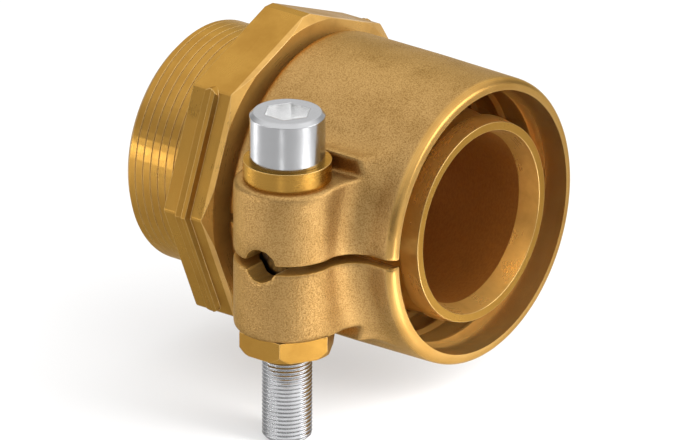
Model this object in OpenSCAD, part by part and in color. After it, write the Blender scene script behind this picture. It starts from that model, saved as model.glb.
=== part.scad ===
// Compression end fitting for a plastic pipe: a turned brass body with a male pipe thread,
// an octagon for the spanner and a barbed spigot, and a slit cast sleeve that one screw
// clamps down on the pipe. X runs along the pipe, the mouth is at +X, the screw stands on Z
// and the clamp lug is at -Y. The origin is on the pipe axis at the octagon's thread side.

/* [Pipe] */
// Outside diameter of the pipe that is clamped
pipe_od = 63; // [50:0.5:75]
// Wall of that pipe
pipe_wall = 5.8; // [4.5:0.1:7]

/* [Threaded end] */
// Major diameter of the male pipe thread
thread_d = 59.614; // [56:0.1:66]
// Length of the threaded end
thread_len = 21.3; // [15:0.5:30]
// Width of the runout groove beside the octagon
relief_w = 2.6; // [1.5:0.1:4]
// Depth of the thread and of its runout groove
thread_depth = 1.48; // [0.8:0.02:2]
// Lead chamfer at the end of the thread
thread_lead = 1.6; // [0.5:0.1:2.5]

/* [Octagon] */
// Width across the flats
octagon_af = 75; // [72:0.5:84]
// Length of the full flats
octagon_len = 11.4; // [9:0.5:18]
// Length of the mouth-side chamfer that follows the flats
octagon_chamfer_len = 1.7; // [0.5:0.1:3]
// Radial fall of that chamfer from the corners
octagon_chamfer_h = 2.5; // [1:0.1:3.5]
// How far the corners are turned down
octagon_corner_cut = 0.14; // [0.05:0.01:0.5]
// How far the corners on the screw's side and opposite are cut flat
octagon_top_cut = 0.6; // [0.2:0.1:1.5]
// Turn of the octagon against the lug
octagon_turn = 0.8; // [0:0.1:45]

/* [Octagon ribs] */
// Distance of each rib from the thread side
rib_x = 3.6; // [2:0.1:5]
// Width of a rib at its foot
rib_w = 4.6; // [2:0.1:5]
// Height of a rib above the flat
rib_h = 1.1; // [0.4:0.1:1.5]
// How far a rib's sides lean in
rib_lean = 0.8; // [0.2:0.1:1]
// Distance between the two ends of a rib
rib_span = 57.6; // [40:0.1:62]
// Radius that rounds off a rib's ends
rib_end_r = 2.2; // [1:0.1:2.4]

/* [Bore and spigot] */
// Diameter of the water bore
bore_d = 42.3; // [38:0.1:44]
// Bore diameter at the mouth, where it opens as a cone
bore_mouth_d = 45.2; // [42:0.1:47]
// Length of that cone
bore_cone_len = 5.1; // [2:0.1:8]
// Length of the spigot and collar from the octagon's mouth face to the tip
spigot_reach = 51.4; // [45:0.1:60]
// Clearance of the barbs in the pipe
barb_clearance = 0.45; // [0.1:0.05:0.8]
// Depth of the valleys between the barbs, below the barb crests
barb_depth = 1.15; // [0.5:0.05:1.4]
// Distance between two barbs
barb_pitch = 10.2; // [8:0.1:12]
// Flat land on each barb
barb_land = 0.8; // [0.4:0.1:2]
// Length of the tapered nose
nose_len = 4.1; // [2:0.1:6]
// Radial fall of that nose
nose_fall = 0.66; // [0.3:0.01:1]
// Number of barbs
barbs = 4; // [2:1:4]

/* [Neck and collar] */
// Length of the neck groove that the sleeve's lip sits in
neck_len = 6.5; // [5:0.1:9]
// Diameter of the neck
neck_d = 53.6; // [50:0.2:55]
// Length of the collar that stops the pipe
collar_len = 3.4; // [2:0.1:5]
// How far the collar stays below the outside of the pipe
collar_inset = 0.7; // [0.3:0.1:1.5]

/* [Clamp sleeve] */
// Gap between the octagon and the sleeve
sleeve_gap = 2.1; // [1:0.1:3]
// Length of the sleeve
sleeve_len = 49.9; // [46:0.1:60]
// Outside diameter of the sleeve at the lug
sleeve_od = 71.4; // [70.6:0.2:80]
// Fall of the diameter from the lug to the rim, for the casting's draft
sleeve_draft = 0.7; // [0:0.1:1.5]
// Clearance of the sleeve's cavity round the pipe
sleeve_clearance = 0.8; // [0.4:0.1:1.2]
// Diameter of the rim's opening
mouth_d = 64.2; // [63.6:0.2:65]
// Length of the rim inside that opening
mouth_lip = 1.2; // [0.5:0.1:3]
// Radius of the rounded outer edges at the sleeve's two ends
rim_round = 2; // [0.5:0.1:2.5]
// Width of the slit
slit_w = 1.9; // [1:0.1:4]

/* [Sleeve lip] */
// Clearance between the lip and the neck
lip_clearance = 0.4; // [0.2:0.1:0.8]
// Clearance between the lip and the collar
lip_seat = 0.2; // [0.1:0.05:0.4]

/* [Sleeve ridges] */
// Distance from the rim to the crest of the first ridge
ridge_first = 9.4; // [6:0.1:14]
// Distance between two ridges
ridge_pitch = 8.3; // [6:0.1:10]
// Clearance of a ridge's crest round the pipe
ridge_clearance = 0.1; // [0.05:0.05:0.3]
// Land of a ridge's crest
ridge_land = 0.7; // [0.3:0.1:2]
// Length of the ramp on a ridge's mouth side
ridge_ramp = 1.2; // [0.6:0.1:3]
// Length of the steep side behind a ridge
ridge_back = 0.7; // [0.3:0.1:1.5]
// Number of ridges
ridges = 3; // [1:1:3]

/* [Clamp lug] */
// Distance of the screw from the rim
screw_from_rim = 25.3; // [24:0.1:28]
// Distance of the screw from the pipe axis
screw_from_axis = 43.1; // [42.3:0.1:46]
// Radius of the lug round the screw
lug_r = 12.8; // [12:0.1:15]
// Height of the lug between its two seats
lug_h = 37.8; // [34:0.2:42]
// Height of the boss where it grows out of the sleeve
boss_h = 46.8; // [42:0.2:50]
// Clearance of the nut and the washer before the seat's back wall
seat_play = 0.15; // [0.1:0.05:0.5]
// Fillet between the boss and the sleeve, along the pipe
side_fillet = 7; // [4:0.5:8]
// Fillet between the boss and the sleeve, round the pipe
top_fillet = 8; // [4:0.5:10]
// Rounding of the lug's edges
lug_round = 1.5; // [0.5:0.1:2.5]
// Diameter of the round hole in the slit's front
pry_hole_d = 7.8; // [4:0.2:9]
// Place of that hole along the pipe, from the screw
pry_hole_shift = 1.4; // [-3:0.1:3]

/* [Clamp screw] */
// Nominal diameter of the screw
screw_d = 12; // [10:1:12]
// Length of the screw under its head
screw_len = 71; // [66:0.5:80]
// Diameter of the cylinder head
head_d = 18; // [17:0.5:20]
// Height of the head
head_h = 12; // [8:0.5:14]
// Width across the flats of the hexagon socket
socket_af = 10; // [8:1:11]
// Depth of the hexagon socket
socket_depth = 6; // [4:0.5:7]
// Chamfer of the screw's tip
tip_chamfer = 1; // [0.5:0.1:1.5]
// Chamfer of the head's top edge
head_chamfer = 0.9; // [0.3:0.1:1.5]
// Turn of the socket about the screw
socket_turn = 0; // [0:1:60]
// Clearance of the screw's hole in the lug
hole_clearance = 1; // [0.4:0.1:1.5]

/* [Washer and nut] */
// Outside diameter of the washer
washer_d = 21.1; // [20:0.1:22]
// Thickness of the washer
washer_t = 4.7; // [2:0.1:6]
// Play of the screw in the washer
washer_play = 0.4; // [0.2:0.1:0.8]
// Width across the flats of the nut
nut_af = 21.1; // [19:0.1:22]
// Height of the nut
nut_h = 5.5; // [4:0.1:10]
// Chamfer of the nut's corners
nut_chamfer = 1; // [0.3:0.1:1.5]
// Turn of the nut about the screw
nut_turn = 0; // [0:1:60]

/* [Hidden] */
$fn = 96;
// Overlap that keeps a cut clear of the face it leaves through
cut = 1;
// How far a fillet's end dips under the surface that it runs out on
blend = 0.04;
// Faces along a quarter turn of a rounded edge
round_steps = 8;

// Places along the pipe
octagon_face_x = octagon_len + octagon_chamfer_len;
tip_x = octagon_face_x + spigot_reach;
collar_x = octagon_face_x + neck_len;
pipe_stop_x = collar_x + collar_len;
sleeve_back_x = octagon_face_x + sleeve_gap;
rim_x = sleeve_back_x + sleeve_len;
lip_front_x = collar_x - lip_seat;
screw_x = rim_x - screw_from_rim;

// Radii about the pipe
pipe_r = pipe_od / 2;
pipe_in_r = pipe_r - pipe_wall;
barb_r = pipe_in_r - barb_clearance;
thread_r = thread_d / 2;
corner_r = octagon_af / 2 / cos(22.5);
collar_r = pipe_r - collar_inset;
sleeve_r = sleeve_od / 2;
cavity_r = pipe_r + sleeve_clearance;
ridge_r = pipe_r + ridge_clearance;
lip_r = neck_d / 2 + lip_clearance;

// Heights along the screw
seat_z = lug_h / 2;
boss_z = boss_h / 2;
washer_top_z = seat_z + washer_t;
seat_wall_y = screw_from_axis - max(nut_af, washer_d) / 2 - seat_play;

// Points of a quarter round about a centre, from one angle to another
function arc(cx, cy, r, from, to) =
    [for (i = [0:round_steps]) let (a = from + (to - from) * i / round_steps)
        [cx + r * cos(a), cy + r * sin(a)]];

// Turns an outline drawn as [place along the pipe, radius] about the pipe
module about_pipe() rotate([0, 90, 0]) rotate_extrude($fn = 180) mirror([1, 0]) rotate(90) children();

module fitting_body() color("#C8963E") difference() {
    union() {
        about_pipe() polygon(body_outline());
        octagon();
        for (side = [-1, 1]) octagon_rib(side);
    }
    about_pipe() polygon(bore_outline());
}

// Outside of the turned body from the thread's end to the spigot's tip
function body_outline() = concat(
    [[-thread_len, 0], [-thread_len, thread_r - thread_lead],
     [thread_lead - thread_len, thread_r], [-relief_w, thread_r],
     [thread_depth - relief_w, thread_r - thread_depth], [octagon_face_x, thread_r - thread_depth],
     [octagon_face_x, neck_d / 2], [collar_x, neck_d / 2],
     [collar_x, collar_r], [pipe_stop_x, collar_r], [pipe_stop_x, barb_r - barb_depth]],
    [for (i = [barbs - 1:-1:0]) each barb(tip_x - nose_len - i * barb_pitch)],
    [[tip_x, barb_r - nose_fall], [tip_x, 0]]);

// One barb whose crest ends at x: steep behind, ramped towards the mouth
function barb(x) = [[x - barb_land - barb_depth, barb_r - barb_depth], [x - barb_land, barb_r], [x, barb_r]];

// Inside of the body
function bore_outline() = [
    [-thread_len - cut, 0], [-thread_len - cut, bore_d / 2], [tip_x - bore_cone_len, bore_d / 2],
    [tip_x, bore_mouth_d / 2], [tip_x + cut, bore_mouth_d / 2], [tip_x + cut, 0]];

// Octagon with its mouth-side chamfer and broken corners
module octagon() intersection() {
    rotate([octagon_turn, 0, 0]) rotate([0, 90, 0]) cylinder(r = corner_r, h = octagon_face_x, $fn = 8);
    rotate([octagon_turn, 0, 0]) translate([0, -corner_r, octagon_top_cut - corner_r])
        cube([octagon_face_x, 2 * corner_r, 2 * (corner_r - octagon_top_cut)]);
    about_pipe() polygon([[0, 0], [0, corner_r - octagon_corner_cut],
        [octagon_len, corner_r - octagon_corner_cut],
        [octagon_face_x, corner_r - octagon_chamfer_h], [octagon_face_x, 0]]);
}

// Raised rib along the two flats at one side, with rounded ends near their outer corners
module octagon_rib(side) intersection() {
    rotate([octagon_turn, 0, 0]) rotate([0, 90, 0]) hull() {
        translate([0, 0, rib_x]) cylinder(r = corner_r, h = rib_w, $fn = 8);
        translate([0, 0, rib_x + rib_lean])
            cylinder(r = corner_r + rib_h / cos(22.5), h = rib_w - 2 * rib_lean, $fn = 8);
    }
    translate([rib_x + rib_w / 2, 0, 0]) rotate([side * 90, 0, 0])
        linear_extrude(height = 2 * corner_r) rib_plan();
}

// Rib seen from its side of the octagon
module rib_plan() {
    square([2 * rib_end_r, rib_span - 2 * rib_end_r], center = true);
    for (end = [-1, 1]) translate([0, end * (rib_span / 2 - rib_end_r)]) circle(r = rib_end_r);
}

module clamp_sleeve() color("#C9A062") difference() {
    union() {
        about_pipe() polygon(sleeve_outline());
        lug();
    }
    about_pipe() polygon(cavity_outline());
    slit();
    translate([screw_x, -screw_from_axis, 0])
        cylinder(d = screw_d + hole_clearance, h = 2 * boss_h, center = true);
    translate([screw_x + pry_hole_shift, -screw_from_axis, slit_w / 4])
        rotate([90, 0, 0]) cylinder(d = pry_hole_d, h = 2 * lug_r);
}

// Outside of the sleeve: a drafted barrel with a rounded rim
function sleeve_outline() = concat(
    [[sleeve_back_x, 0]],
    arc(sleeve_back_x + rim_round, sleeve_r - rim_round, rim_round, 180, 90),
    [[screw_x, sleeve_r]],
    arc(rim_x - rim_round, barrel_r(rim_x) - rim_round, rim_round, 90, 0),
    [[rim_x, 0]]);

// Inside of the sleeve: the lip's hole, the cavity with its ridges and the rim's opening
function cavity_outline() = concat(
    [[sleeve_back_x - cut, 0], [sleeve_back_x - cut, lip_r], [lip_front_x, lip_r], [lip_front_x, cavity_r]],
    [for (i = [ridges - 1:-1:0]) each ridge(rim_x - ridge_first - i * ridge_pitch)],
    [[rim_x - mouth_lip, mouth_d / 2], [rim_x, mouth_d / 2 + mouth_lip / 2],
     [rim_x + cut, mouth_d / 2 + mouth_lip / 2], [rim_x + cut, 0]]);

// One ridge with its crest at x: steep behind, ramped towards the mouth
function ridge(x) = [[x - ridge_land / 2 - ridge_back, cavity_r], [x - ridge_land / 2, ridge_r],
    [x + ridge_land / 2, ridge_r], [x + ridge_land / 2 + ridge_ramp, cavity_r]];

// Boss and lug: the section across the pipe, the section along it and the plan view, intersected
module lug() intersection() {
    translate([screw_x, 0, 0]) rotate([90, 0, 90])
        linear_extrude(height = 2 * (lug_r + side_fillet), center = true) boss_section();
    about_pipe() polygon(flare_outline());
    lug_plan();
}

// Section across the pipe: the lug between its seats, the taller boss and the fillet to the barrel
module boss_section() {
    base_r = sleeve_r - blend;
    fillet_z = boss_z + top_fillet;
    fillet_y = sqrt(pow(base_r + top_fillet, 2) - pow(fillet_z, 2));
    translate([-2 * screw_from_axis, -seat_z]) square([2 * screw_from_axis - cut, lug_h]);
    for (side = [0, 1]) mirror([0, side]) polygon(concat(
        [[0, 0], [-seat_wall_y, 0], [-seat_wall_y, boss_z]],
        arc(-fillet_y, fillet_z, top_fillet, -90, -atan2(fillet_z, fillet_y))));
}

// Section along the pipe: full height at the lug, with a concave fillet down to the barrel each side
function flare_outline() = let (
        top = screw_from_axis + 2 * lug_r,
        back = screw_x - lug_r - side_fillet,
        front = screw_x + lug_r + side_fillet) concat(
    [[back, 0]],
    arc(back, barrel_r(back) - blend + side_fillet, side_fillet, -90, 0),
    [[back + side_fillet, top], [front - side_fillet, top]],
    arc(front, barrel_r(front) - blend + side_fillet, side_fillet, 180, 270),
    [[front, 0]]);

// Outside radius of the sleeve's barrel at a place along the pipe
function barrel_r(x) = sleeve_r - sleeve_draft / 2 * max(0, x - screw_x) / screw_from_rim;

// Plan of the lug: round about the screw, straight back to the barrel
module lug_plan() {
    translate([screw_x, -screw_from_axis, 0])
        rotate_extrude($fn = 96) polygon(concat(
            [[0, -seat_z]], arc(lug_r - lug_round, lug_round - seat_z, lug_round, -90, 0),
            arc(lug_r - lug_round, seat_z - lug_round, lug_round, 0, 90), [[0, seat_z]]));
    translate([screw_x - lug_r - side_fillet, -screw_from_axis, -boss_h])
        cube([2 * (lug_r + side_fillet), screw_from_axis, 2 * boss_h]);
}

// Cut through the lug and one wall of the sleeve
module slit() translate([sleeve_back_x - cut, -2 * screw_from_axis, -slit_w / 2])
    cube([sleeve_len + 2 * cut, 2 * screw_from_axis - cut, slit_w]);

module clamp_screw() color("#C9CCD0") translate([screw_x, -screw_from_axis, washer_top_z]) difference() {
    rotate_extrude($fn = 96) polygon([
        [0, -screw_len], [screw_d / 2 - tip_chamfer, -screw_len], [screw_d / 2, tip_chamfer - screw_len],
        [screw_d / 2, 0], [head_d / 2, 0], [head_d / 2, head_h - head_chamfer],
        [head_d / 2 - head_chamfer, head_h], [0, head_h]]);
    translate([0, 0, head_h - socket_depth]) rotate(socket_turn)
        cylinder(d = socket_af / cos(30), h = socket_depth + cut, $fn = 6);
}

module clamp_washer() color("#C8963E") translate([screw_x, -screw_from_axis, seat_z]) difference() {
    cylinder(d = washer_d, h = washer_t);
    translate([0, 0, -cut]) cylinder(d = screw_d + washer_play, h = washer_t + 2 * cut);
}

module clamp_nut() color("#B98A3C") translate([screw_x, -screw_from_axis, -seat_z - nut_h]) difference() {
    intersection() {
        rotate(nut_turn) cylinder(d = nut_af / cos(30), h = nut_h, $fn = 6);
        cylinder(r1 = nut_af / 2 + nut_chamfer / 2, r2 = nut_af / 2 + 4 * nut_chamfer, h = nut_h);
    }
    translate([0, 0, -cut]) cylinder(d = screw_d, h = nut_h + 2 * cut);
}

fitting_body();
clamp_sleeve();
clamp_screw();
clamp_washer();
clamp_nut();
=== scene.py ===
"""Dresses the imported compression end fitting: threads, brass, steel, studio and camera.

The frame is the part's own: X runs along the pipe with the mouth at +X, Z is the clamp screw's axis and the
clamp lug is at -Y. Lengths in the dataclass fields are in millimetres, and mm() turns them into metres.
"""

from __future__ import annotations

import logging
import math
from dataclasses import dataclass, field
from enum import Enum
from typing import Sequence

import bpy
from mathutils import Matrix, Vector

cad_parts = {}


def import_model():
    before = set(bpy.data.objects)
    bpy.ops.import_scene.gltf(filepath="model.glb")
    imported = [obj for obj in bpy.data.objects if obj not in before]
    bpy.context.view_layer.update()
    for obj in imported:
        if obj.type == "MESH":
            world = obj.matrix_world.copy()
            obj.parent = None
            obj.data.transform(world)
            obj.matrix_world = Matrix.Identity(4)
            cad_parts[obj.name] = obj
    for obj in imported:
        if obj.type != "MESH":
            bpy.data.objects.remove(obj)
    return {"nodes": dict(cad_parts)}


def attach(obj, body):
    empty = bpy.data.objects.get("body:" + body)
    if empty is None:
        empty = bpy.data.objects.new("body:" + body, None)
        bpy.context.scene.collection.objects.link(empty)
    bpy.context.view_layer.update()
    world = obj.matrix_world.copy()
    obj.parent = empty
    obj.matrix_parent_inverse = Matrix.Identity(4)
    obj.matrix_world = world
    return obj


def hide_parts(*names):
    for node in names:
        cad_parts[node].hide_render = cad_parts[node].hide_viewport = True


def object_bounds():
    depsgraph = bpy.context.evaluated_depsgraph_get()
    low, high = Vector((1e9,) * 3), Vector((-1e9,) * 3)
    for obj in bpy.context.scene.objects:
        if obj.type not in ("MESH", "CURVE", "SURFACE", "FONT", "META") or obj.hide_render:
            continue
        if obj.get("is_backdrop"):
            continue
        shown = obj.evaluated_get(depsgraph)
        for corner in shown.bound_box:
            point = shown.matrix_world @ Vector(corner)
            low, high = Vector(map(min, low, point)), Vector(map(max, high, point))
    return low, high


LOG = logging.getLogger("end_fitting")
ROOT_BODY = "root"
Point = tuple[float, float]
Point3 = tuple[float, float, float]

# Places and sizes of the part that more than one class uses, in millimetres
SCREW_CENTRE: Point3 = (39.8, -43.1, 0.0)
DRILL_CENTRE: Point3 = (41.2, -55.9, 0.475)
DRILL_R = 4.1
SLIT_W = 1.9
RIM_X = 65.1

# Vertices closer than this are one, in millimetres
MERGE = 0.002

# Gap between the screw's tip and the floor, in millimetres, so that their faces never share a plane
FLOOR_GAP = 0.1

# Edges that turn by less are shaded smooth on most pieces, in degrees
SOFT_ANGLE = 30.0

# Parts of a noise's range that turn into clouds, rings and grains
CLOUDS: Point = (0.42, 0.7)
CAST_CLOUDS: Point = (0.4, 0.7)
RINGS: Point = (0.35, 0.7)
GRAINS: Point = (0.5, 0.75)
SPREAD: Point = (0.3, 0.7)

# Colour of brass at a glancing angle
BRASS_SHEEN = (0.95, 0.8, 0.55, 1.0)


def mm(value: float) -> float:
    """Turns millimetres into metres."""
    return value * 0.001


class Axis(Enum):
    """Axis that a turned form or a thread goes round."""

    PIPE = "X"
    SCREW = "Z"


# Modelling


class Bench:
    """The few steps of modelling by operators that all pieces share."""

    @staticmethod
    def deselect() -> None:
        """Leaves edit mode and deselects every object."""
        if bpy.context.object is not None and bpy.context.object.mode != "OBJECT":
            bpy.ops.object.mode_set(mode="OBJECT")
        bpy.ops.object.select_all(action="DESELECT")

    @staticmethod
    def pick(obj: bpy.types.Object) -> None:
        """Makes obj the only selected and the active object.

        Args:
            obj: The piece to pick.
        """
        Bench.deselect()
        obj.select_set(True)
        bpy.context.view_layer.objects.active = obj

    @staticmethod
    def edit(obj: bpy.types.Object) -> None:
        """Opens obj in edit mode with all its vertices selected.

        Args:
            obj: The piece to edit.
        """
        Bench.pick(obj)
        bpy.ops.object.mode_set(mode="EDIT")
        bpy.ops.mesh.select_mode(type="VERT")
        bpy.ops.mesh.select_all(action="SELECT")

    @staticmethod
    def done() -> None:
        """Goes back to object mode."""
        bpy.ops.object.mode_set(mode="OBJECT")

    @staticmethod
    def apply(obj: bpy.types.Object, kind: str, **settings: object) -> None:
        """Adds a modifier, sets it up and applies it.

        Args:
            obj: The piece to change.
            kind: Blender's name for the modifier's type.
            **settings: The modifier's properties.
        """
        Bench.pick(obj)
        modifier = obj.modifiers.new(kind.title(), kind)
        for name, value in settings.items():
            setattr(modifier, name, value)
        bpy.ops.object.modifier_apply(modifier=modifier.name)

    @staticmethod
    def merged_copy(node: bpy.types.Object, name: str) -> bpy.types.Object:
        """Copies a node of the frame and joins the copy's loose triangles.

        Args:
            node: The node, which stays as it is.
            name: Name of the copy.

        Returns:
            The copy, as one closed mesh.
        """
        copy = bpy.data.objects.new(name, node.data.copy())
        copy.data.name = name
        bpy.context.scene.collection.objects.link(copy)
        copy.data.materials.clear()
        Bench.edit(copy)
        bpy.ops.mesh.customdata_custom_splitnormals_clear()
        bpy.ops.mesh.remove_doubles(threshold=mm(MERGE))
        Bench.done()
        return copy

    @staticmethod
    def ring(name: str, outline: Sequence[Point], steps: int) -> bpy.types.Object:
        """Spins a closed outline round the pipe's axis.

        Args:
            name: Name of the piece.
            outline: Points (place along the pipe, radius) in millimetres, in order round the outline.
            steps: Number of steps in the full turn.

        Returns:
            The turned piece, with its faces pointing outwards.
        """
        piece = Bench.outline(name, outline, Axis.PIPE)
        Bench.edit(piece)
        bpy.ops.mesh.spin(steps=steps, angle=math.tau, center=(0, 0, 0), axis=(1, 0, 0))
        bpy.ops.mesh.select_all(action="SELECT")
        bpy.ops.mesh.remove_doubles(threshold=mm(MERGE))
        bpy.ops.mesh.normals_make_consistent(inside=False)
        Bench.done()
        return piece

    @staticmethod
    def outline(name: str, points: Sequence[Point], axis: Axis) -> bpy.types.Object:
        """Shapes a circle's edges into an outline that stands in a plane through the axis.

        Args:
            name: Name of the piece.
            points: Points (place along the axis, radius) in millimetres.
            axis: The axis that the outline stands beside.

        Returns:
            The outline, as a closed ring of edges.
        """
        Bench.deselect()
        bpy.ops.mesh.primitive_circle_add(vertices=len(points), radius=mm(10), fill_type="NOTHING")
        piece = bpy.context.object
        piece.name = piece.data.name = name
        for vertex, (along, radius) in zip(piece.data.vertices, points):
            vertex.co = (mm(along), 0, mm(radius)) if axis is Axis.PIPE else (mm(radius), 0, mm(along))
        return piece

    @staticmethod
    def cut(piece: bpy.types.Object, cutter: bpy.types.Object) -> None:
        """Takes cutter's volume away from piece, deletes cutter and drops the slivers that the cut left.

        Args:
            piece: The piece that is cut.
            cutter: A closed mesh.
        """
        Bench.apply(piece, "BOOLEAN", operation="DIFFERENCE", solver="EXACT", object=cutter)
        bpy.data.objects.remove(cutter)
        Bench.edit(piece)
        bpy.ops.mesh.remove_doubles(threshold=mm(MERGE))
        bpy.ops.mesh.dissolve_degenerate(threshold=mm(MERGE / 2))
        Bench.done()

    @staticmethod
    def shift(piece: bpy.types.Object, way: Point3) -> None:
        """Moves the mesh of piece by millimetres, and leaves its object at the origin."""
        piece.data.transform(Matrix.Translation([mm(c) for c in way]))

    @staticmethod
    def smooth(piece: bpy.types.Object, degrees: float) -> None:
        """Shades smooth across edges that turn by less than an angle."""
        Bench.pick(piece)
        bpy.ops.object.shade_smooth_by_angle(angle=math.radians(degrees))


@dataclass(frozen=True)
class HelixCutter:
    """A groove of thread section, wound round an axis, to cut a thread with.

    Args:
        axis: The axis of the thread.
        pitch: Distance between two crests.
        crest_r: Radius over the crests.
        depth: Depth of the groove.
        start: Place along the axis where the winding starts.
        turns: Number of turns.
        width: Width of the groove between two crests.
        steps: Steps in one turn.
        centre: A point on the axis.
    """

    axis: Axis
    pitch: float
    crest_r: float
    depth: float
    start: float
    turns: int
    width: float
    steps: int
    centre: Point3 = (0.0, 0.0, 0.0)

    def section(self) -> list[Point]:
        """Gives the groove's section, with a round root and flared, rounded crests.

        Returns:
            Points (place along the axis, radius), in millimetres.
        """
        edge = self.width / 2
        half = [(0.08 * edge, self.crest_r - self.depth), (0.22 * edge, self.crest_r - 0.9 * self.depth),
                (0.8 * edge, self.crest_r - 0.12 * self.depth), (edge, self.crest_r + 0.01 * self.depth),
                (edge, self.crest_r + 0.3 * self.depth)]
        return [(self.start - x, r) for x, r in reversed(half)] + [(self.start + x, r) for x, r in half]

    def build(self) -> bpy.types.Object:
        """Winds the section into a closed right-handed coil.

        Returns:
            The cutter.
        """
        coil = Bench.outline("thread_cutter", self.section(), self.axis)
        Bench.apply(coil, "SCREW", axis=self.axis.value, screw_offset=mm(self.pitch), iterations=self.turns,
                    steps=self.steps, render_steps=self.steps, use_merge_vertices=False)
        Bench.edit(coil)
        bpy.ops.mesh.remove_doubles(threshold=mm(MERGE / 4))
        bpy.ops.mesh.select_all(action="DESELECT")
        bpy.ops.mesh.select_non_manifold()
        bpy.ops.mesh.fill_holes(sides=0)
        bpy.ops.mesh.select_all(action="SELECT")
        bpy.ops.mesh.normals_make_consistent(inside=False)
        Bench.done()
        Bench.shift(coil, self.centre)
        return coil


# Shaders


class Value:
    """A number in a shader: a socket that arithmetic can be done with."""

    def __init__(self, paint: "Paint", socket: bpy.types.NodeSocket) -> None:
        """Wraps an output socket of a material."""
        self.paint = paint
        self.socket = socket

    def _math(self, operation: str, *others: "Value | float") -> "Value":
        """Adds a Math node.

        Args:
            operation: The node's operation.
            *others: What follows this value in the node's inputs.

        Returns:
            The result.
        """
        return self.paint.add("Math", dict(enumerate((self, *others))), operation=operation)

    def __add__(self, other: "Value | float") -> "Value":
        """Sum."""
        return self._math("ADD", other)

    def __sub__(self, other: "Value | float") -> "Value":
        """Difference."""
        return self._math("SUBTRACT", other)

    def __mul__(self, other: "Value | float") -> "Value":
        """Product."""
        return self._math("MULTIPLY", other)

    __radd__ = __add__
    __rmul__ = __mul__

    def __rsub__(self, other: float) -> "Value":
        """A number less this value."""
        return self.paint.add("Math", {0: other, 1: self}, operation="SUBTRACT")

    def fit(self, low: float, high: float, to_low: float = 0.0, to_high: float = 1.0) -> "Value":
        """Maps the range low to high smoothly on to_low to to_high, and stays inside it."""
        inputs = {"Value": self, "From Min": low, "From Max": high, "To Min": to_low, "To Max": to_high}
        return self.paint.add("MapRange", inputs, interpolation_type="SMOOTHSTEP")

    def sqrt(self) -> "Value":
        """Square root."""
        return self._math("SQRT")

    def abs(self) -> "Value":
        """Size without the sign."""
        return self._math("ABSOLUTE")

    def max(self, other: "Value | float") -> "Value":
        """The larger of two."""
        return self._math("MAXIMUM", other)


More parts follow.
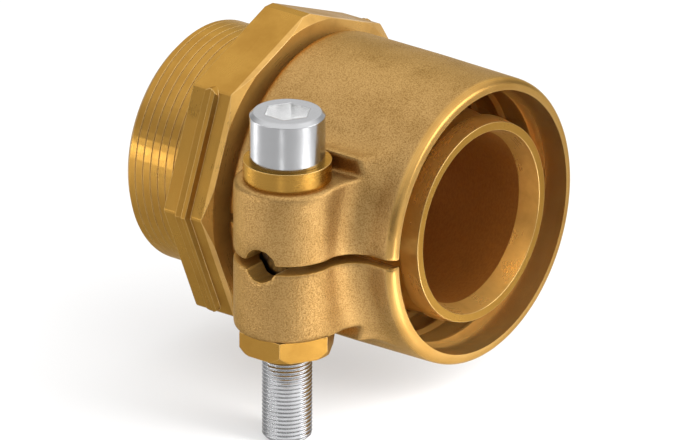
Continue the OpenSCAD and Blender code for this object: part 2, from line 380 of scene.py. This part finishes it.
class Paint:
    """Builds the nodes of one material or of the world."""

    def __init__(self, owner: bpy.types.Material | bpy.types.World) -> None:
        """Starts with no nodes in a material or a world.

        Args:
            owner: The material or the world, which is emptied.
        """
        self.material = owner
        owner.use_nodes = True
        self.tree = owner.node_tree
        self.tree.nodes.clear()

    @classmethod
    def named(cls, name: str) -> "Paint":
        """Starts an empty material with that name."""
        return cls(bpy.data.materials.new(name))

    def add(self, kind: str, inputs: dict[str | int, object] | None = None, out: str | int = 0,
            **settings: object) -> Value:
        """Adds any node.

        Args:
            kind: The node's type, without Blender's ShaderNode in front.
            inputs: Values or links of its sockets, by name or place.
            out: The output to give back.
            **settings: The node's own properties.

        Returns:
            The chosen output.
        """
        node = self.tree.nodes.new("ShaderNode" + kind)
        for name, value in settings.items():
            setattr(node, name, value)
        for key, value in (inputs or {}).items():
            socket = node.inputs[key]
            if isinstance(value, Value):
                self.tree.links.new(value.socket, socket)
            else:
                socket.default_value = value
        return Value(self, node.outputs[out] if len(node.outputs) else None)

    def mix(self, factor: Value | float, low: Value | Sequence[float],
            high: Value | Sequence[float]) -> Value:
        """Mixes two colours.

        Args:
            factor: Share of the second colour.
            low: First colour.
            high: Second colour.

        Returns:
            The mixed colour.
        """
        inputs = {0: factor, 6: self._colour(low), 7: self._colour(high)}
        return self.add("Mix", inputs, out=2, data_type="RGBA")

    @staticmethod
    def _colour(value: Value | Sequence[float]) -> Value | tuple[float, ...]:
        """Gives a plain colour its alpha."""
        return value if isinstance(value, Value) else (*value, 1.0)

    def place(self) -> tuple[Value, Value, Value, Value]:
        """Reads the point on the surface.

        Returns:
            Its x, y and z in millimetres, and the point itself as a vector in millimetres.
        """
        point = self.add("TexCoord", out="Object")
        scaled = self.add("VectorMath", {0: point, "Scale": 1000.0}, operation="SCALE")
        axes = [self.add("SeparateXYZ", {0: scaled}, out=name) for name in ("X", "Y", "Z")]
        return axes[0], axes[1], axes[2], scaled

    def noise(self, vector: Value, scale: float, detail: float = 4.0, roughness: float = 0.55) -> Value:
        """Adds noise between 0 and 1 whose grains are 1 / scale wide in the vector's unit."""
        inputs = {"Vector": vector, "Scale": scale, "Detail": detail, "Roughness": roughness}
        return self.add("TexNoise", inputs, out=0)

    def rings(self, along: Value, radius: Value, density: float = 3.0, detail: float = 5.0) -> Value:
        """Adds the fine rings that a turning tool leaves.

        Args:
            along: Place along the axis in millimetres.
            radius: Distance from the axis in millimetres.
            density: Rings in a millimetre.
            detail: Detail of the rings.

        Returns:
            The rings, between 0 and 1.
        """
        place = self.vector(along * density, radius * density, 0.0)
        return self.noise(place, 1.0, detail=detail, roughness=0.7)

    def vector(self, x: Value | float, y: Value | float, z: Value | float) -> Value:
        """Joins three numbers into a vector."""
        return self.add("CombineXYZ", {0: x, 1: y, 2: z})

    def facing(self, vector: Value, direction: Sequence[float]) -> Value:
        """Tells how far a unit vector points along a direction, from -1 to 1."""
        aim = tuple(Vector(direction).normalized())
        return self.add("VectorMath", {0: vector, 1: aim}, out="Value", operation="DOT_PRODUCT")

    def dot(self, one: Value, two: Value) -> Value:
        """Tells how well two unit vectors agree, from -1 to 1."""
        return self.add("VectorMath", {0: one, 1: two}, out="Value", operation="DOT_PRODUCT")

    def bump(self, height: Value, depth: float, normal: Value | None = None) -> Value:
        """Turns a height between 0 and 1 into a normal.

        Args:
            height: The height.
            depth: Depth of the relief in millimetres.
            normal: Normal that the relief stands on.

        Returns:
            The normal.
        """
        inputs: dict[str | int, object] = {"Height": height, "Distance": mm(depth), "Strength": 1.0}
        if normal is not None:
            inputs["Normal"] = normal
        return self.add("Bump", inputs)

    def finish(self, **inputs: object) -> bpy.types.Material:
        """Ends the material in a Principled shader.

        Args:
            **inputs: The shader's sockets, with _ for a space in a name.

        Returns:
            The material.
        """
        sockets = {name.replace("_", " "): value for name, value in inputs.items()}
        shader = self.add("BsdfPrincipled", sockets)
        self.add("OutputMaterial", {"Surface": shader})
        return self.material


@dataclass(frozen=True)
class TurnedBrass:
    """Turned or milled brass, with fine rings round its axis and softly broken edges.

    Args:
        name: Name of the material.
        colour: Clean metal.
        stain: Darker metal that lies over it in clouds.
        fresh_and_painted_light: Untarnished metal of the neck and the spigot, made lighter as painted light
            where the sleeve shades them.
        deep: Darker, browner colour inside the water bore.
        deeper: Streaks in the water bore.
        rubbed_and_glint: Light colour on the broken edges, partly metal polished by rubbing and partly a
            painted highlight.
        axis: The axis that the tool went round.
        centre: A point on that axis in millimetres.
        roughness: Mean roughness.
        edge: Radius of the broken edges in millimetres.
        rub: How far a broken edge turns from its face where its light colour starts and where it is full.
        ring_depth: Depth of the tool's rings in millimetres.
        bore_r: Radius of a dark bore in millimetres, or 0 for none.
        bore_end: Place along the axis where that bore opens as a cone.
        fresh_from: Place along the axis where the lighter metal, partly painted light, starts.
        fresh_to: Place along the axis where it ends.
        neck: Places along the axis where the neck ends and the spigot is clear of it.
    """

    name: str
    colour: Point3 = (0.375, 0.202, 0.041)
    stain: Point3 = (0.27, 0.13, 0.022)
    fresh_and_painted_light: Point3 = (0.60, 0.34, 0.085)
    deep: Point3 = (0.36, 0.135, 0.022)
    deeper: Point3 = (0.24, 0.085, 0.014)
    rubbed_and_glint: Point3 = (0.80, 0.56, 0.24)
    axis: Axis = Axis.PIPE
    centre: Point3 = (0.0, 0.0, 0.0)
    roughness: float = 0.28
    edge: float = 0.28
    rub: Point = (0.015, 0.1)
    ring_depth: float = 0.005
    bore_r: float = 0.0
    bore_end: float = 0.0
    fresh_from: float = 11.5
    fresh_to: float = 64.3
    neck: Point = (24.0, 26.0)

    def material(self) -> bpy.types.Material:
        """Builds the material.

        Returns:
            The material.
        """
        paint = Paint.named(self.name)
        x, y, z, point = paint.place()
        x, y, z = x - self.centre[0], y - self.centre[1], z - self.centre[2]
        along, one, two = (x, y, z) if self.axis is Axis.PIPE else (z, x, y)
        radius = (one * one + two * two).sqrt()
        rings = paint.rings(along, radius)
        clouds = paint.noise(point, 0.09, detail=5.0, roughness=0.6)
        grain = paint.noise(point, 2.2, detail=3.0)
        colour = paint.mix(clouds.fit(*CLOUDS) * 0.45, self.colour, self.stain)
        marks = rings.fit(*RINGS) * 0.16 + grain.fit(*GRAINS) * 0.1
        colour = paint.mix(marks, colour, self.stain)
        rough = clouds.fit(*SPREAD, self.roughness - 0.05, self.roughness + 0.07)
        rough = rough + rings.fit(*SPREAD) * 0.06
        edge = paint.add("Bevel", {"Radius": mm(self.edge)}, samples=8)
        # Broken edges: a light colour that is partly polish from rubbing and partly a painted highlight
        worn_and_glint = (1.0 - paint.dot(edge, paint.add("NewGeometry", out="True Normal"))).fit(*self.rub)
        normal = paint.bump(rings, self.ring_depth, normal=edge)
        metal: Value | float = 1.0
        if self.bore_r:
            inside = 1.0 - radius.fit(self.bore_r + 0.02, self.bore_r + 0.12)
            inside = inside * (1.0 - along.fit(self.bore_end - 0.05, self.bore_end + 0.1))
            streaks = paint.noise(paint.vector(along * 2.5, one * 1.2, two * 1.2), 1.0, detail=4.0)
            brown = paint.mix(streaks.fit(*RINGS) * 0.5, self.deep, self.deeper)
            # Neck and spigot: untarnished metal, painted lighter and made less metallic to lift the
            # sleeve's shade on them
            untarnished_and_lit = along.fit(self.fresh_from - 0.2, self.fresh_from)
            untarnished_and_lit = untarnished_and_lit * (1.0 - along.fit(self.fresh_to, self.fresh_to + 0.1))
            spigot = paint.mix(clouds.fit(*CLOUDS) * 0.4, self.fresh_and_painted_light, self.stain)
            colour = paint.mix(inside, paint.mix(untarnished_and_lit, colour, spigot), brown)
            metal = 1.0 - untarnished_and_lit * (0.5 - along.fit(*self.neck) * 0.25)
            rough = rough + inside * 0.2
        # Painted highlight, mixed with polish from rubbing, along the broken edges
        colour = paint.mix(worn_and_glint * 0.75, colour, self.rubbed_and_glint)
        return paint.finish(Base_Color=colour, Roughness=rough, Metallic=metal, Normal=normal,
                            Specular_Tint=BRASS_SHEEN)


@dataclass(frozen=True)
class CastBrass:
    """Sand-cast brass, matt and grained, whose inside, rim, slit and round hole are cut bright; in the
    socket, the slit and the hole the colour is lighter still, as painted light over their shade.

    Args:
        name: Name of the material.
        colour: The grains' light sides.
        shade: The metal between the grains.
        burnt: Orange tarnish beside the octagon.
        fresh_and_painted_light: Untarnished metal inside the socket, lighter than at the mouth as painted
            light that lifts the socket's shade.
        mouth: Metal of the socket's mouth and of the rim.
        tarnish: Darker metal that lies over the cut faces in clouds and rings.
        milled: Metal of the slit and of the round hole: cut metal, painted lighter as painted light in
            their shade.
        grain: Width of a grain in millimetres.
        relief: Depth of the grains in millimetres.
        pipe_r: Radius that the machined inside ends at, in millimetres.
        rim: Places along the pipe where the machined rim starts and where it is clear, in millimetres.
        mouth_x: Places along the pipe between which the socket's metal turns into the mouth's.
        burnt_x: Places along the pipe between which the orange tarnish fades.
    """

    name: str
    colour: Point3 = (0.43, 0.262, 0.096)
    shade: Point3 = (0.175, 0.086, 0.018)
    burnt: Point3 = (0.36, 0.16, 0.025)
    fresh_and_painted_light: Point3 = (0.66, 0.38, 0.10)
    mouth: Point3 = (0.46, 0.27, 0.08)
    tarnish: Point3 = (0.32, 0.15, 0.025)
    milled: Point3 = (0.46, 0.26, 0.065)
    grain: float = 0.34
    relief: float = 0.12
    pipe_r: float = 33.2
    rim: Point = (RIM_X - 2.4, RIM_X - 1.2)
    mouth_x: Point = (58.0, 60.0)
    burnt_x: Point = (15.6, 18.6)

    def material(self) -> bpy.types.Material:
        """Builds the material.

        Returns:
            The material.
        """
        paint = Paint.named(self.name)
        x, y, z, point = paint.place()
        radius = (y * y + z * z).sqrt()
        bored = 1.0 - radius.fit(self.pipe_r - 0.25, self.pipe_r + 0.25)
        worked = bored.max(x.fit(*self.rim))
        milled = self._milled(x, y, z)
        near_mouth = x.fit(*self.mouth_x)
        fine = paint.noise(point, 1 / self.grain, detail=3.0, roughness=0.65)
        coarse = paint.noise(point, 0.5 / self.grain, detail=2.0)
        clouds = paint.noise(point, 0.07, detail=5.0, roughness=0.6)
        shade = fine.fit(0.4, 0.66) * 0.55 + clouds.fit(*CAST_CLOUDS) * 0.3
        heat = (1.0 - x.fit(*self.burnt_x)) * radius.fit(33.5, 34.5) * clouds.fit(0.35, 0.65, 0.35, 0.9)
        cast = paint.mix(heat, paint.mix(shade, self.colour, self.shade), self.burnt)
        rings = paint.rings(x, radius)
        dull = clouds.fit(*CAST_CLOUDS) * 0.4 + rings.fit(*RINGS) * 0.2
        # Deeper in the socket the cut metal is painted lighter and less metallic: painted light that lifts
        # its shade
        bright = paint.mix(dull, paint.mix(near_mouth, self.fresh_and_painted_light, self.mouth), self.tarnish)
        # Slit and round hole: cut metal, painted lighter and less metallic to lift their shade
        colour = paint.mix(milled, paint.mix(worked, cast, bright), self.milled)
        rough = (1.0 - worked) * fine.fit(*SPREAD, 0.33, 0.45) + worked * 0.26
        height = (fine * 0.7 + coarse * 0.6) * (1.0 - worked) + rings * worked * 0.06
        metal = 1.0 - bored * (0.3 - near_mouth * 0.15) - milled * 0.28
        return paint.finish(Base_Color=colour, Roughness=rough, Metallic=metal,
                            Normal=paint.bump(height, self.relief), Specular_Tint=BRASS_SHEEN)

    def _milled(self, x: Value, y: Value, z: Value) -> Value:
        """Finds the walls of the slit and of the round hole in its front.

        Args:
            x: Place along the pipe in millimetres.
            y: Place across it, towards the far side.
            z: Height.

        Returns:
            1 on those walls and 0 elsewhere.
        """
        side, up = x - DRILL_CENTRE[0], z - DRILL_CENTRE[2]
        drilled = 1.0 - (side * side + up * up).sqrt().fit(DRILL_R + 0.05, DRILL_R + 0.2)
        slit = 1.0 - z.abs().fit(SLIT_W / 2 + 0.15, SLIT_W / 2 + 0.4)
        return drilled.max(slit) * (1.0 - y.fit(-self.pipe_r - 0.8, -self.pipe_r))


@dataclass(frozen=True)
class BrightSteel:
    """Plated steel of the clamp screw.

    Args:
        name: Name of the material.
        colour: The plating.
        cloud: Duller plating that lies over it in clouds.
        clear: Near-white colour inside the socket, a painted highlight.
        roughness: Mean roughness.
        edge: Radius of the broken edges in millimetres.
        ring_depth: Depth of the tool's rings in millimetres.
        socket_r: Radius round the socket's corners.
        socket_z: Height of the socket's floor.
        top_z: Height of the head's top.
    """

    name: str
    colour: Point3 = (0.40, 0.402, 0.408)
    cloud: Point3 = (0.3, 0.303, 0.31)
    clear: Point3 = (0.95, 0.95, 0.95)
    roughness: float = 0.15
    edge: float = 0.3
    ring_depth: float = 0.002
    socket_r: float = 6.0
    socket_z: float = 29.6
    top_z: float = 35.6

    def material(self) -> bpy.types.Material:
        """Builds the material.

        Returns:
            The material.
        """
        paint = Paint.named(self.name)
        x, y, z, point = paint.place()
        x, y = x - SCREW_CENTRE[0], y - SCREW_CENTRE[1]
        radius = (x * x + y * y).sqrt()
        rings = paint.rings(z, radius, density=4.0, detail=4.0)
        clouds = paint.noise(point, 0.25, detail=4.0)
        colour = paint.mix(clouds.fit(0.45, 0.75) * 0.2, self.colour, self.cloud)
        rough = clouds.fit(*SPREAD, self.roughness - 0.04, self.roughness + 0.06)
        rough = rough + rings.fit(*SPREAD) * 0.05
        edge = paint.add("Bevel", {"Radius": mm(self.edge)}, samples=6)
        normal = paint.bump(rings, self.ring_depth, normal=edge)
        # Painted highlight: the socket's walls and floor are painted near white
        above_floor = z.fit(self.socket_z - 0.5, self.socket_z - 0.4)
        below_top = 1.0 - z.fit(self.top_z - 0.1, self.top_z)
        socket = (1.0 - radius.fit(self.socket_r, self.socket_r + 0.1)) * above_floor * below_top
        colour = paint.mix(socket, colour, self.clear)
        return paint.finish(Base_Color=colour, Roughness=rough, Metallic=1.0, Normal=normal)


# Pieces


@dataclass
class Piece:
    """One piece of the fitting, made from one node of the frame.

    Args:
        node: Name of the node in the frame.
        slot: The record's material slot; not used.
    """

    node: str
    slot: str
    body: bpy.types.Object | None = field(default=None, init=False)

    def build(self, nodes: dict[str, bpy.types.Object]) -> None:
        """Makes the mesh from a copy of the node."""
        self.body = Bench.merged_copy(nodes[self.node], self.node + "_dressed")
        self.shape(self.body)

    def shape(self, piece: bpy.types.Object) -> None:
        """Shapes the copy further."""
        Bench.smooth(piece, SOFT_ANGLE)

    def dress(self, material: bpy.types.Material) -> None:
        """Gives the piece its finish and its place in the frame.

        Args:
            material: The finish.
        """
        self.body.data.materials.clear()
        self.body.data.materials.append(material)
        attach(self.body, ROOT_BODY)
        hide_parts(self.node)
        LOG.info("%s: %d faces", self.body.name, len(self.body.data.polygons))


@dataclass
class EndBody(Piece):
    """The turned body with its threaded end, octagon and spigot.

    Args:
        thread_r: Radius over the pipe thread's crests.
        groove_depth: Depth of the thread's groove.
        groove_w: Width of the thread's groove.
        pitch: Pitch of the thread.
        thread_end: Place of the thread's end along the pipe.
        relief_w: Width of the runout groove beside the octagon.
        run_out: How far the thread's groove winds on into the runout groove.
        octagon_r: Distance of the octagon's flats from the axis.
        octagon_turn: Turn of the octagon in degrees.
        rib_top: Start and end of the ribs' tops along the pipe, and their height above the flats.
        hollow: Margin beside the hollow along the ribs' tops, and its depth.
        soft_angle: Edges that turn by less are shaded smooth, in degrees.
    """

    thread_r: float = 29.807
    groove_depth: float = 0.3
    groove_w: float = 0.3
    pitch: float = 2.309
    thread_end: float = -21.3
    relief_w: float = 2.6
    run_out: float = 0.5
    octagon_r: float = 37.5
    octagon_turn: float = 0.8
    rib_top: Point3 = (4.4, 7.4, 1.1)
    hollow: Point = (0.4, 0.32)
    soft_angle: float = 12.0

    def shape(self, piece: bpy.types.Object) -> None:
        """Cuts the ribs' hollows and the pipe thread, whose grooves show as fine lines.

        Args:
            piece: The copy of the node.
        """
        Bench.cut(piece, self.rib_hollow())
        turns = math.ceil((-self.thread_end - self.relief_w) / self.pitch) + 1
        start = -self.relief_w + self.run_out - turns * self.pitch
        cutter = HelixCutter(Axis.PIPE, self.pitch, self.thread_r, self.groove_depth, start, turns,
                             self.groove_w, steps=128)
        Bench.cut(piece, cutter.build())
        Bench.smooth(piece, self.soft_angle)

    def rib_hollow(self) -> bpy.types.Object:
        """Makes the cutter of the sloping hollow along the top of each rib.

        Returns:
            An eight-sided ring that reaches into the ribs alone.
        """
        first, last, height = self.rib_top
        margin, depth = self.hollow
        to_corner = 1 / math.cos(math.pi / 8)
        top = (self.octagon_r + height) * to_corner
        steep = last - 3 * margin
        outline = [(first + margin / 2, top), (first + margin / 2, top + 1), (steep, top + 1), (steep, top),
                   (steep - margin / 2, top - depth * to_corner)]
        ring = Bench.ring("hollow_cutter", outline, steps=8)
        ring.data.transform(Matrix.Rotation(math.radians(self.octagon_turn), 4, "X"))
        return ring


@dataclass
class ClampScrew(Piece):
    """The cylinder-head screw with its fine thread.

    Args:
        screw_r: Radius over the thread's crests.
        thread_depth: Depth of the thread.
        groove_share: Width of the thread's groove as a share of the pitch.
        pitch: Pitch of the thread.
        tip_z: Height of the screw's tip.
        thread_len: Length of the thread.
    """

    screw_r: float = 6.0
    thread_depth: float = 0.42
    groove_share: float = 0.96
    pitch: float = 1.0
    tip_z: float = -47.4
    thread_len: float = 30.0

    def shape(self, piece: bpy.types.Object) -> None:
        """Cuts the screw's thread up from its tip.

        Args:
            piece: The copy of the node.
        """
        turns = round(self.thread_len / self.pitch)
        cutter = HelixCutter(Axis.SCREW, self.pitch, self.screw_r, self.thread_depth,
                             self.tip_z - self.pitch, turns, self.groove_share * self.pitch,
                             steps=64, centre=SCREW_CENTRE)
        Bench.cut(piece, cutter.build())
        Bench.smooth(piece, SOFT_ANGLE)


@dataclass
class ClampSleeve(Piece):
    """The slit clamp sleeve: a cast blank with soft edges whose inside is bored out.

    Args:
        back_x: Place of the sleeve's back along the pipe.
        rim_x: Place of its rim.
        plug_r: Radius that the blank is filled to before it is bored.
        cavity_r: Radius of the cavity.
        lip_r: Radius of the lip's hole.
        lip_front_x: Place of the lip's front face.
        ridge_r: Radius of the ridges' crests.
        ridge_land: Width of a ridge's crest.
        ridge_ramp: Length of a ridge's slope towards the mouth.
        ridge_back: Length of its slope towards the back.
        ridge_places: Places of the ridges' crests.
        mouth_r: Radius of the rim's opening.
        drill_len: Length of the drill that opens the round hole in the slit's front.
        overrun: How far the cavity's cutter reaches past the sleeve's ends.
        slit_reach: How far the slit's bar reaches inside the lip's hole, and past the plug.
        grain: Size of the blank's faces.
        softening: Rounds of smoothing of the blank.
    """

    back_x: float = 15.2
    rim_x: float = RIM_X
    plug_r: float = 33.0
    cavity_r: float = 32.3
    lip_r: float = 27.2
    lip_front_x: float = 19.4
    ridge_r: float = 31.6
    ridge_land: float = 0.7
    ridge_ramp: float = 1.2
    ridge_back: float = 0.7
    ridge_places: tuple[float, ...] = (39.1, 47.4, 55.7)
    mouth_r: float = 32.5
    drill_len: float = 25.6
    overrun: float = 1.0
    slit_reach: Point = (2.0, 1.2)
    grain: float = 0.55
    softening: int = 7

    def shape(self, piece: bpy.types.Object) -> None:
        """Fills the sleeve, softens it as a casting, and bores it out again.

        Args:
            piece: The copy of the node.
        """
        filling = [(self.back_x, 0.0), (self.back_x, self.plug_r),
                   (self.rim_x, self.plug_r), (self.rim_x, 0.0)]
        plug = Bench.ring("plug", filling, steps=128)
        Bench.deselect()
        plug.select_set(True)
        piece.select_set(True)
        bpy.context.view_layer.objects.active = piece
        bpy.ops.object.join()
        Bench.apply(piece, "REMESH", mode="VOXEL", voxel_size=mm(self.grain), adaptivity=0.0)
        Bench.apply(piece, "SMOOTH", factor=0.5, iterations=self.softening)
        Bench.cut(piece, Bench.ring("cavity_cutter", self.cavity(), steps=192))
        Bench.cut(piece, self.slit_cutter())
        Bench.cut(piece, self.drill())
        Bench.smooth(piece, SOFT_ANGLE)

    def cavity(self) -> list[Point]:
        """Gives the outline of the bored inside.

        Returns:
            Points (place along the pipe, radius), in millimetres.
        """
        back, front = self.back_x - self.overrun, self.rim_x + self.overrun
        outline: list[Point] = [(back, 0.0), (back, self.lip_r),
                                (self.lip_front_x, self.lip_r), (self.lip_front_x, self.cavity_r)]
        for crest in self.ridge_places:
            half = self.ridge_land / 2
            outline += [(crest - half - self.ridge_back, self.cavity_r), (crest - half, self.ridge_r),
                        (crest + half, self.ridge_r), (crest + half + self.ridge_ramp, self.cavity_r)]
        return outline + [(front, self.mouth_r), (front, 0.0)]

    def drill(self) -> bpy.types.Object:
        """Makes the drill of the round hole in the slit's front.

        Returns:
            The drill, which ends inside the screw's hole.
        """
        Bench.deselect()
        bpy.ops.mesh.primitive_cylinder_add(vertices=96, radius=mm(DRILL_R), depth=mm(self.drill_len),
                                            location=(0, 0, 0))
        drill = bpy.context.object
        drill.name = "drill"
        drill.data.transform(Matrix.Rotation(math.radians(90), 4, "X"))
        Bench.shift(drill, DRILL_CENTRE)
        return drill

    def slit_cutter(self) -> bpy.types.Object:
        """Makes the bar that opens the slit again between the plug and the wall.

        Returns:
            The bar.
        """
        Bench.deselect()
        inner, outer = self.lip_r - self.slit_reach[0], self.plug_r + self.slit_reach[1]
        bpy.ops.mesh.primitive_cube_add(size=1.0, location=(0, 0, 0))
        bar = bpy.context.object
        bar.name = "slit_cutter"
        length = self.rim_x - self.back_x + 4 * self.overrun
        bar.data.transform(Matrix.Diagonal((mm(length), mm(outer - inner), mm(SLIT_W), 1.0)))
        Bench.shift(bar, ((self.rim_x + self.back_x) / 2, -(inner + outer) / 2, 0.0))
        return bar


# Studio


@dataclass(frozen=True)
class SoftBox:
    """A rectangular lamp that looks at the part.

    Args:
        name: Name of the lamp.
        direction: Direction from the part to the lamp.
        distance: Distance from the part in metres.
        size: Width and height in metres.
        power: Power in watts.
        hidden: Whether polished metal does without the lamp's own image.
        point_down: Whether the lamp looks straight down at the floor.
    """

    name: str
    direction: Point3
    distance: float
    size: Point
    power: float
    hidden: bool = False
    point_down: bool = False

    def build(self, target: Vector) -> None:
        """Places the lamp.

        Args:
            target: The point that the lamp stands off from, in metres.
        """
        data = bpy.data.lights.new(self.name, "AREA")
        data.shape = "RECTANGLE"
        data.size, data.size_y = self.size
        data.energy = self.power
        lamp = bpy.data.objects.new(self.name, data)
        bpy.context.scene.collection.objects.link(lamp)
        away = Vector(self.direction).normalized()
        lamp.location = target + away * self.distance
        lamp.visible_glossy = lamp.visible_camera = not self.hidden
        if not self.point_down:
            lamp.rotation_euler = away.to_track_quat("Z", "Y").to_euler()


@dataclass(frozen=True)
class SkyPatch:
    """A part of the sky that shines on top of the rest.

    Args:
        direction: Where it is.
        span: How well a ray agrees with that direction where the patch starts and where it is full.
        strength: Its strength.
    """

    direction: Point3
    span: Point
    strength: float


@dataclass(frozen=True)
class PhotoCamera:
    """The photograph's camera, solved from its ellipses.

    Args:
        azimuth: Turn about Z in degrees.
        elevation: Height angle in degrees.
        roll: Roll in degrees.
        focal_px: Focal length in pixels.
        image: Width and height of the picture in pixels.
        anchor: The point of the part that the solution refers to, in millimetres.
        anchor_px: Where that point is in the picture.
        distance: Distance of the camera along its view, in millimetres.
        sensor: Width of the sensor in millimetres.
    """

    azimuth: float = 38.367
    elevation: float = 22.325
    roll: float = 0.176
    focal_px: float = 11693.29
    image: Point = (700.0, 440.0)
    anchor: Point3 = (62.93, 0.0, 0.0)
    anchor_px: Point = (476.286, 220.554)
    distance: float = 2784.14
    sensor: float = 36.0

    def build(self) -> None:
        """Makes it the scene's camera."""
        a, e, c = (math.radians(v) for v in (self.azimuth, self.elevation, self.roll))
        back = Vector((math.sin(a) * math.cos(e), -math.cos(a) * math.cos(e), math.sin(e)))
        level = Vector((math.cos(a), math.sin(a), 0.0))
        upright = back.cross(level)
        right = level * math.cos(c) + upright * math.sin(c)
        up = upright * math.cos(c) - level * math.sin(c)
        scale = self.distance / self.focal_px
        place = (Vector(self.anchor) - right * ((self.anchor_px[0] - self.image[0] / 2) * scale)
                 + up * ((self.anchor_px[1] - self.image[1] / 2) * scale) + back * self.distance)
        data = bpy.data.cameras.new("photo_camera")
        data.sensor_fit = "HORIZONTAL"
        data.sensor_width = self.sensor
        data.lens = self.focal_px * self.sensor / self.image[0]
        data.clip_end = 50.0
        camera = bpy.data.objects.new("photo_camera", data)
        bpy.context.scene.collection.objects.link(camera)
        turn = Matrix((right, up, back)).transposed().to_4x4()
        camera.matrix_world = Matrix.Translation(place * 0.001) @ turn
        bpy.context.scene.camera = camera


@dataclass(frozen=True)
class Studio:
    """Pale floor, white background and soft boxes.

    Args:
        floor_z: Height of the floor in millimetres.
        floor_size: Width of the floor in metres.
        floor_colour: Colour of the floor.
        glow: What the camera sees on top of the floor's own light.
        mirrored: Share of that glow that metal mirrors.
        target: Middle of the part, which the lamps are placed round, in millimetres.
        boxes: The lamps.
        sky: Strength of the light from all round.
        patches: What is brighter: above, behind the octagon and at the mouth.
    """

    floor_z: float
    floor_size: float = 6.0
    floor_colour: Point3 = (0.45, 0.45, 0.45)
    glow: float = 0.42
    mirrored: float = 0.55
    target: Point3 = (25.0, -5.0, 0.0)
    boxes: tuple[SoftBox, ...] = (
        SoftBox("strip_low_left", (-0.574, -0.818, 0.0), 0.8, (0.9, 0.08), 1.8),
        SoftBox("box_mouth", (0.86, 0.42, 0.25), 0.8, (0.5, 0.35), 2.2),
        SoftBox("box_floor_right", (0.14, -0.02, 0.0), 0.141, (0.14, 0.04), 0.5,
                hidden=True, point_down=True),
        SoftBox("box_floor_front", (0.086, -0.212, -0.03), 0.2307, (0.02, 0.06), 0.02,
                hidden=True, point_down=True),
        SoftBox("box_floor_left", (-0.175, -0.1, 0.0), 0.202, (0.06, 0.06), 0.16,
                hidden=True, point_down=True),
    )
    sky: float = 0.36
    patches: tuple[SkyPatch, ...] = (
        SkyPatch((0.0, 0.0, 1.0), (0.15, 0.8), 1.2),
        SkyPatch((-0.57, 0.79, 0.1), (0.6, 0.95), 0.4),
        SkyPatch((0.92, 0.2, 0.2), (0.5, 0.95), 0.6),
    )

    def build(self) -> None:
        """Builds the studio."""
        Bench.deselect()
        bpy.ops.mesh.primitive_plane_add(size=self.floor_size, location=(0, 0, mm(self.floor_z)))
        floor = bpy.context.object
        floor.name = "floor"
        floor.data.materials.append(self._floor_finish())
        floor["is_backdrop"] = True
        for box in self.boxes:
            box.build(Vector([mm(c) for c in self.target]))
        self._world()

    def _floor_finish(self) -> bpy.types.Material:
        """Gives the floor a pale finish that the camera sees as near white, and metal a little darker.

        Returns:
            The finish.
        """
        paint = Paint.named("floor_pale")
        camera, glossy, through = (paint.add("LightPath", out=name) for name in
                                   ("Is Camera Ray", "Is Glossy Ray", "Is Transmission Ray"))
        plain = paint.add("BsdfDiffuse", {"Color": (*self.floor_colour, 1.0)})
        glow = paint.add("Emission", {"Color": (1.0, 1.0, 1.0, 1.0), "Strength": self.glow})
        lit = paint.add("AddShader", {0: plain, 1: glow})
        seen = camera.max(glossy * self.mirrored).max(through)
        mixed = paint.add("MixShader", {0: seen, 1: plain, 2: lit})
        paint.add("OutputMaterial", {"Surface": mixed})
        return paint.material

    def _world(self) -> None:
        """Builds the soft light all round."""
        world = bpy.data.worlds.new("studio")
        bpy.context.scene.world = world
        paint = Paint(world)
        point = paint.add("TexCoord", out="Generated")
        level: Value | float = self.sky
        for patch in self.patches:
            level = level + paint.facing(point, patch.direction).fit(*patch.span) * patch.strength
        light = paint.add("Background", {"Color": paint.vector(level, level, level)})
        paint.add("OutputWorld", {"Surface": light})


# Scene


def corners(bounds: Sequence[Sequence[float]]) -> list[list[float]]:
    """Turns a box into plain lists of numbers.

    Args:
        bounds: The box's two corners.

    Returns:
        The same corners as lists.
    """
    return [[float(v) for v in corner] for corner in bounds]


def main() -> None:
    """Builds the pieces in order, dresses them and sets up the studio."""
    logging.basicConfig(level=logging.INFO, format="%(name)s %(message)s")
    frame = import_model()
    nodes = frame["nodes"]
    frame_box = corners(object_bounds())
    PhotoCamera().build()

    body_brass = TurnedBrass("turned_brass", bore_r=21.15, bore_end=59.4).material()
    washer_brass = TurnedBrass("washer_brass", axis=Axis.SCREW, centre=SCREW_CENTRE,
                               roughness=0.22).material()
    nut_brass = TurnedBrass("nut_brass", axis=Axis.SCREW, centre=SCREW_CENTRE, roughness=0.3).material()
    cast = CastBrass("cast_brass").material()
    steel = BrightSteel("screw_steel").material()

    dressed: list[tuple[Piece, bpy.types.Material]] = [
        (EndBody("fitting_body", "turned_brass"), body_brass),
        (ClampSleeve("clamp_sleeve", "cast_brass"), cast),
        (ClampScrew("clamp_screw", "screw_steel"), steel),
        (Piece("clamp_washer", "turned_brass"), washer_brass),
        (Piece("clamp_nut", "turned_brass"), nut_brass),
    ]
    for piece, material in dressed:
        piece.build(nodes)
        piece.dress(material)

    Studio(floor_z=1000 * frame_box[0][2] - FLOOR_GAP).build()
    scene = bpy.context.scene
    scene.view_settings.view_transform = "Standard"
    Bench.deselect()


if __name__ == "__main__":
    main()
